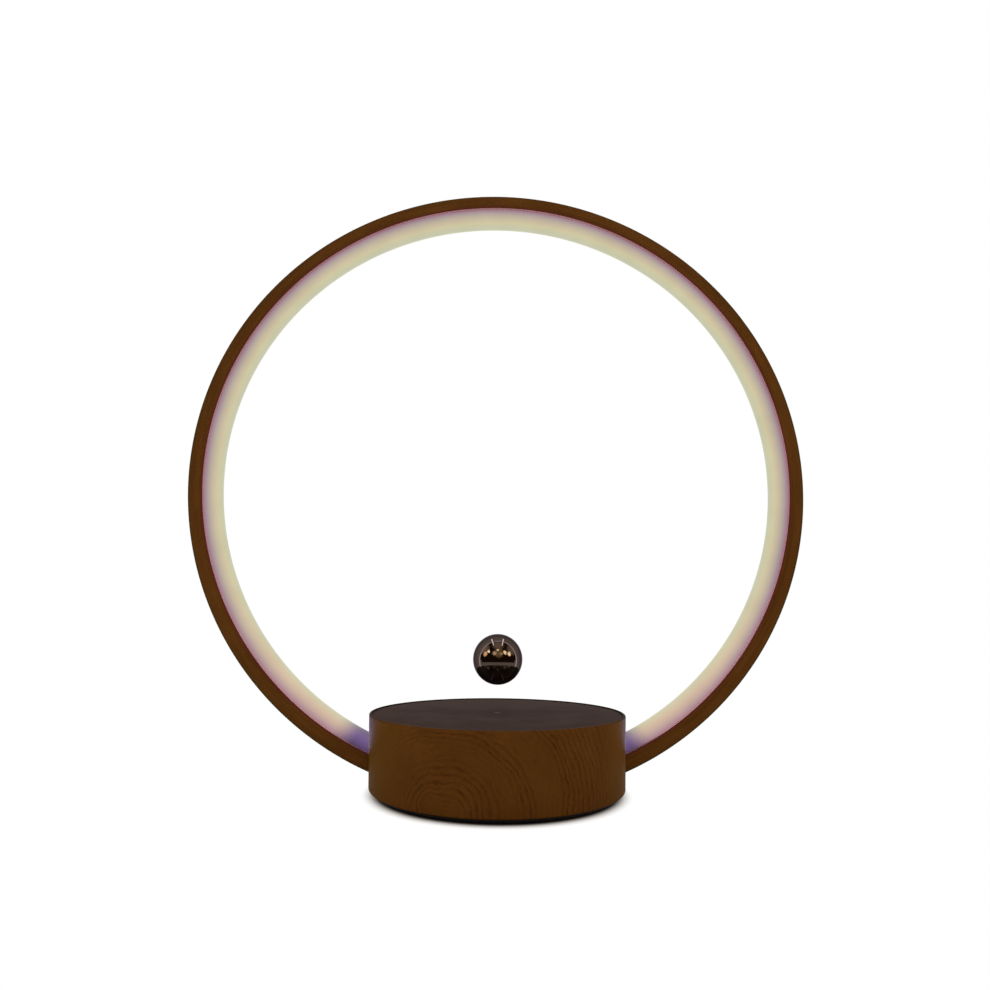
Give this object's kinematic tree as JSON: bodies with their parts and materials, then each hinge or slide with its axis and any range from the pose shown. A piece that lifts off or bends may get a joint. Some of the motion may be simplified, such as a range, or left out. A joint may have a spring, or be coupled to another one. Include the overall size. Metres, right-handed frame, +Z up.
{
  "type": "levitating ring lamp",
  "caption": "Round wood-grain base that holds an upright C-shaped light ring, with a dark mirror ball floating on a magnetic field over its dark satin top plate.",
  "frame": {"origin": "middle of the face that the lamp stands on, under the centre of the round base", "axes": "+Z up, +X to the right seen from the front, +Y towards the back with the power inlet"},
  "size_m": [0.3, 0.118, 0.297],
  "materials": {
    "wood_grain": "satin",
    "satin_plate": "satin",
    "black_plastic": "matte",
    "eva_pad": "matte",
    "opal_diffuser": "satin",
    "dark_mirror": "polished",
    "magnet": "satin",
    "nickel": "polished",
    "steel": "satin",
    "copper": "satin",
    "circuit_board": "satin",
    "chip_black": "satin",
    "aluminium_can": "satin",
    "strip_white": "satin",
    "led_package": "gloss",
    "lead_white": "satin",
    "lead_red": "satin"
  },
  "bodies": {
    "base": {"base_shell": "wood_grain", "top_plate": "satin_plate", "bottom_cover": "black_plastic", "non_slip_ring": "eva_pad", "cover_screws": "steel", "module_screws": "steel", "lev_chassis": "black_plastic", "field_magnet": "magnet", "coil_bobbins": "black_plastic", "coil_windings": "copper", "coil_cores": "steel", "hall_board": "circuit_board", "hall_sensors": "chip_black", "main_board": "circuit_board", "driver_chips": "chip_black", "capacitors": "aluminium_can", "touch_electrode": "copper", "touch_lead": "lead_white", "dc_jack": "black_plastic", "dc_jack_pin": "nickel", "dc_jack_nut": "nickel", "jack_tabs": "nickel", "jack_leads": "lead_red", "ring_channel": "wood_grain", "led_strip": "strip_white", "leds": "led_package", "diffuser": "opal_diffuser", "ring_plugs": "black_plastic", "led_leads": "lead_white", "left_cradle": "black_plastic", "right_cradle": "black_plastic", "cradle_screws": "steel", "ring_screws": "steel"},
    "ball_float": {"ball_magnet": "nickel"},
    "ball": {"ball_upper_shell": "dark_mirror", "ball_lower_shell": "dark_mirror", "magnet_holder": "black_plastic"}
  },
  "joints": [
    {"name": "ball_lift", "type": "slide", "parent": "base", "child": "ball_float", "axis": [0, 0, 1], "range_m": [-0.0124, 0.06], "stiffness_N_per_m": 5.2, "springref_m": 0.0201},
    {"name": "ball_spin", "type": "hinge", "parent": "ball_float", "child": "ball", "pos_m": [0, 0, 0.05785], "axis": [0, 0, 1], "continuous": true}
  ]
}
